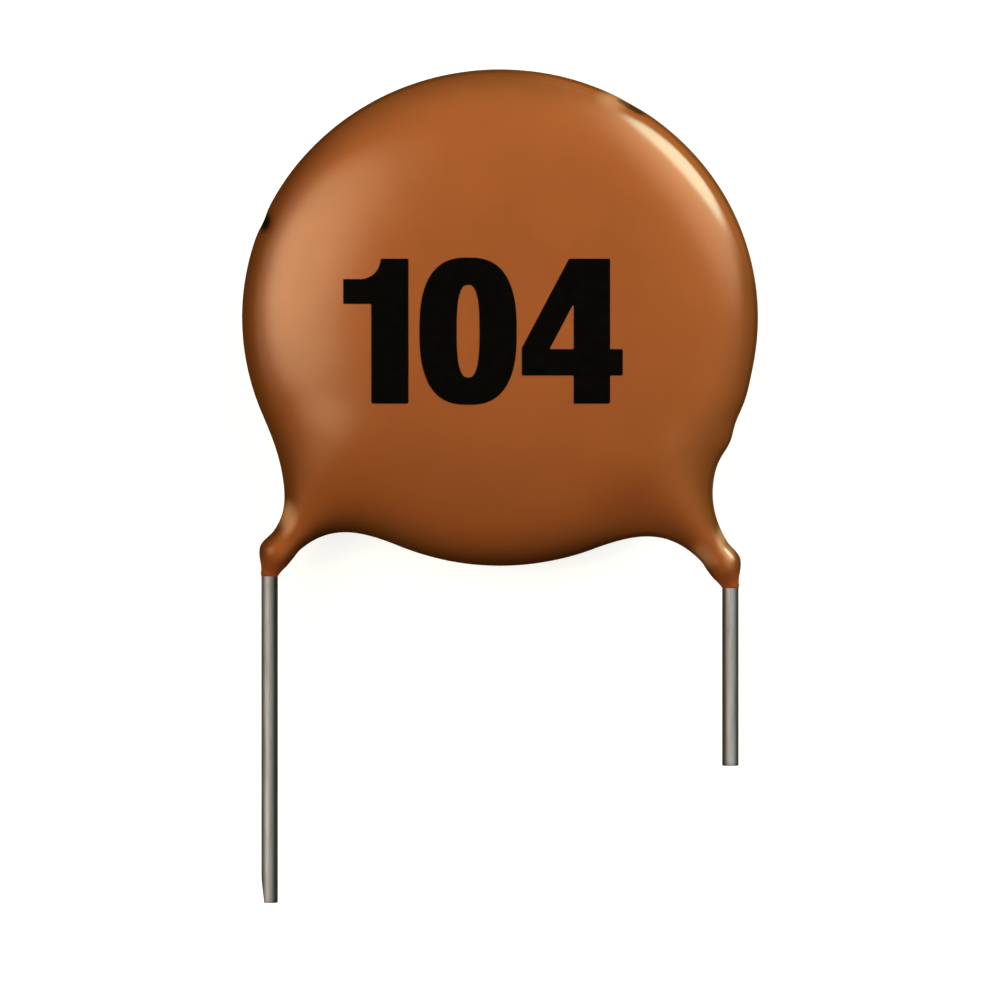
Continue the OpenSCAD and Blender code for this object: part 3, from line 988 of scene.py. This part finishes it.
def grained_material(name, base, shade, scale, metallic, roughness):
    """A cloudy, finely bumped finish for the pieces inside the coating."""
    material, tree, shader = new_material(name)
    cloud = grain(tree, millimetres(tree), scale, 5)
    rough = ranged(tree, cloud, 0.3, 0.7, roughness - 0.08, roughness + 0.08)
    feed(tree, shader, {"Base Color": tinted(tree, ranged(tree, cloud, 0.3, 0.7, 0, 1), base, shade),
                        "Roughness": rough, "Metallic": metallic})
    bumped(tree, shader, cloud, 0.004 * MM)
    return material


def floor_material(stage):
    """Pale floor that shows white by itself to the camera and in reflections, and still takes a shadow."""
    material, tree, shader = new_material("pale_floor")
    path = put(tree, "ShaderNodeLightPath").outputs
    seen = largest(tree, path["Is Camera Ray"], path["Is Glossy Ray"], path["Is Transmission Ray"])
    feed(tree, shader, {"Base Color": (*stage.floor, 1), "Roughness": 0.9, "Specular IOR Level": 0.0,
                        "Emission Color": (1, 1, 1, 1), "Emission Strength": product(tree, seen, stage.glow)})
    return material


def set_material(node, material):
    """Puts one material in every slot of a CAD node."""
    slots = frame["nodes"][node].data.materials
    slots.clear()
    slots.append(material)


# Stage

# Lamps around the part: name, azimuth from +X and elevation in degrees, distance, width and height in
# metres, brightness of its face and colour
LAMPS = (
    ("rim_lamp", 43, 14, 0.4, 0.24, 0.19, 15.2, (0.64, 1, 0.76)),
)

# Soft glows of the studio: azimuth from +X and elevation in degrees, reach in degrees, strength and colour
GLOWS = (
    (165, 52, 31, 5.5, (1, 0.92, 0.55)),
    (170, 27, 34, 1.3, (1, 0.93, 0.62)),
    (36, 26, 34, 4.6, (1, 0.86, 0.57)),
    (-25, 30, 36, 0.3, (1, 0.82, 0.55)),
)


def toward(azimuth, elevation):
    """Direction at an azimuth from +X and an elevation, in degrees."""
    a, e = np.radians(azimuth), np.radians(elevation)
    return np.array([np.cos(a) * np.cos(e), np.sin(a) * np.cos(e), np.sin(e)])


def studio_world(stage):
    """Dim studio with soft round glows, each fading smoothly from its middle to its reach."""
    world = bpy.data.worlds.new("studio")
    world.use_nodes = True
    tree = world.node_tree
    way = put(tree, "ShaderNodeTexCoord").outputs["Generated"]
    light = put(tree, "ShaderNodeBackground", {"Color": (1, 1, 1, 1), "Strength": stage.ambient}).outputs[0]
    for azimuth, elevation, spread, strength, tint in GLOWS:
        facing = along(tree, way, toward(azimuth, elevation))
        glow = ranged(tree, facing, np.cos(np.radians(spread)), 1, 0, strength)
        glow = put(tree, "ShaderNodeBackground", {"Color": (*tint, 1), "Strength": glow}).outputs[0]
        light = put(tree, "ShaderNodeAddShader", {0: light, 1: glow}).outputs[0]
    tree.links.new(light, tree.nodes["World Output"].inputs["Surface"])
    return world


# Operators

class DISC_CAPACITOR_OT_coating(bpy.types.Operator):
    """Make the dipped resin coating"""
    bl_idname = "disc_capacitor.coating"
    bl_label = "Coating"

    def execute(self, context):
        settings = context.scene.disc_capacitor
        form = resin_form(settings.coating, settings.leads)
        points, faces = resin_skin(form)
        steep = np.hypot(*slopes(points, form)[:, :2].T)
        ends = [leg_points[0] * flip for leg_points, flip in zip(form.legs, (1, TURN_OVER))]
        lip = np.max([smooth(LIP_START, LIP_FULL, np.linalg.norm(points - end, axis=1)) for end in ends], 0)
        piece = make_piece("resin_coating", points + MIDDLE * UP, faces, resin_material(settings.coating),
                           {"steep": steep, "lip": lip})
        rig.replaces(piece, "coating")
        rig.slot(piece, "resin")
        return {"FINISHED"}


class DISC_CAPACITOR_OT_leads(bpy.types.Operator):
    """Make the two wire leads"""
    bl_idname = "disc_capacitor.leads"
    bl_label = "Leads"

    def execute(self, context):
        leads = context.scene.disc_capacitor.leads
        tin = tin_material(leads)
        for node, drop, tip, flip, shine in (
                ("front_lead", leads.front_drop, FRONT_TIP, 1, FRONT_SHINE),
                ("rear_lead", leads.rear_drop, REAR_TIP, TURN_OVER, REAR_SHINE)):
            line = rounded(wire_line(leads, drop, tip), (leads.leg_bend, leads.face_bend))
            rings = wire_surface(line, leads.radius)
            if node == "rear_lead":
                rings = pinched(rings, leads, tip)
            points, faces = tube_mesh(rings * flip)
            piece = make_piece(node + "_wire", points + MIDDLE * UP, faces, tin,
                               {"flank_shade": flank_share(rings, leads, shine)})
            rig.replaces(piece, node)
            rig.slot(piece, "tinned_wire")
        return {"FINISHED"}


class DISC_CAPACITOR_OT_number(bpy.types.Operator):
    """Print the number on the front face"""
    bl_idname = "disc_capacitor.number"
    bl_label = "Number"

    def execute(self, context):
        settings = context.scene.disc_capacitor
        points, faces = number_film(settings.number, resin_form(settings.coating, settings.leads))
        make_piece("printed_number", points + MIDDLE * UP, faces, ink_material(settings.number))
        return {"FINISHED"}


class DISC_CAPACITOR_OT_core(bpy.types.Operator):
    """Give the ceramic, silver and solder inside their finishes"""
    bl_idname = "disc_capacitor.core"
    bl_label = "Core"

    def execute(self, context):
        ceramic = grained_material("fired_ceramic", (0.57, 0.45, 0.27), (0.44, 0.33, 0.18), 6, 0, 0.75)
        silver = grained_material("fired_silver", (0.64, 0.63, 0.6), (0.5, 0.49, 0.46), 12, 1, 0.42)
        solder = grained_material("solder", (0.46, 0.46, 0.47), (0.34, 0.34, 0.35), 4, 1, 0.35)
        set_material("ceramic_disc", ceramic)
        for node in ("front_electrode", "rear_electrode"):
            set_material(node, silver)
        for node in ("front_solder", "rear_solder"):
            set_material(node, solder)
        return {"FINISHED"}


class DISC_CAPACITOR_OT_stage(bpy.types.Operator):
    """Make the floor, the lamps, the world and the camera"""
    bl_idname = "disc_capacitor.stage"
    bl_label = "Stage"

    def execute(self, context):
        scene = context.scene
        stage = scene.disc_capacitor.stage
        mesh = bpy.data.meshes.new("floor")
        corners = [(FLOOR_HALF * x, FLOOR_HALF * y, 0) for x, y in ((-1, -1), (1, -1), (1, 1), (-1, 1))]
        mesh.from_pydata(corners, [], [(0, 1, 2, 3)])
        mesh.materials.append(floor_material(stage))
        floor = bpy.data.objects.new("floor", mesh)
        scene.collection.objects.link(floor)
        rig.stage(floor)

        for name, azimuth, elevation, distance, width, height, brightness, tint in LAMPS:
            lamp = bpy.data.lights.new(name, "AREA")
            lamp.shape = "ELLIPSE"
            lamp.size, lamp.size_y = width, height
            lamp.energy = brightness * np.pi * np.pi / 4 * width * height
            lamp.color = tint
            lamp_object = bpy.data.objects.new(name, lamp)
            lamp_object.location = toward(azimuth, elevation) * distance
            lamp_object.rotation_euler = np.radians([90 - elevation, 0, azimuth + 90])
            lamp_object.visible_camera = False
            scene.collection.objects.link(lamp_object)

        scene.world = studio_world(stage)

        camera = bpy.data.cameras.new("camera")
        camera.sensor_width = SENSOR_WIDTH
        camera.lens = camera.sensor_width * stage.distance / stage.frame_width
        camera.clip_start, camera.clip_end = 0.01, 10
        camera_object = bpy.data.objects.new("camera", camera)
        camera_object.location = (0, stage.aim, MIDDLE + stage.distance)
        scene.collection.objects.link(camera_object)
        scene.camera = camera_object
        scene.view_settings.view_transform = "Standard"
        return {"FINISHED"}


class DISC_CAPACITOR_PT_panel(bpy.types.Panel):
    """Settings and buttons of the capacitor"""
    bl_idname = "DISC_CAPACITOR_PT_panel"
    bl_label = "Ceramic disc capacitor"
    bl_space_type = "VIEW_3D"
    bl_region_type = "UI"
    bl_category = "Capacitor"

    def draw(self, context):
        settings = context.scene.disc_capacitor
        for operator, name in ((DISC_CAPACITOR_OT_coating, "coating"), (DISC_CAPACITOR_OT_leads, "leads"),
                               (DISC_CAPACITOR_OT_number, "number"), (DISC_CAPACITOR_OT_core, None),
                               (DISC_CAPACITOR_OT_stage, "stage")):
            box = self.layout.box()
            box.operator(operator.bl_idname)
            group = getattr(settings, name) if name else None
            for key in group.bl_rna.properties.keys() if group else ():
                if key not in ("rna_type", "name"):
                    box.prop(group, key)


CLASSES = (CoatingSettings, LeadSettings, NumberSettings, StageSettings, CapacitorSettings,
           DISC_CAPACITOR_OT_coating, DISC_CAPACITOR_OT_leads, DISC_CAPACITOR_OT_number,
           DISC_CAPACITOR_OT_core, DISC_CAPACITOR_OT_stage, DISC_CAPACITOR_PT_panel)


def register():
    """Registers the classes and puts the settings on the scene."""
    for cls in CLASSES:
        bpy.utils.register_class(cls)
    bpy.types.Scene.disc_capacitor = PointerProperty(type=CapacitorSettings)


def unregister():
    """Takes the settings and the classes away again."""
    del bpy.types.Scene.disc_capacitor
    for cls in reversed(CLASSES):
        bpy.utils.unregister_class(cls)


def main():
    """Makes every piece and the stage, and writes the CAD box and the box of the finished part."""
    register()
    bpy.ops.disc_capacitor.coating()
    bpy.ops.disc_capacitor.leads()
    bpy.ops.disc_capacitor.number()
    bpy.ops.disc_capacitor.core()
    bpy.ops.disc_capacitor.stage()
    with open("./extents.json", "w") as file:
        json.dump({"cad": [list(corner) for corner in CAD_BOX],
                   "visual": [list(corner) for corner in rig.bounds()]}, file)


if __name__ == "__main__":
    main()
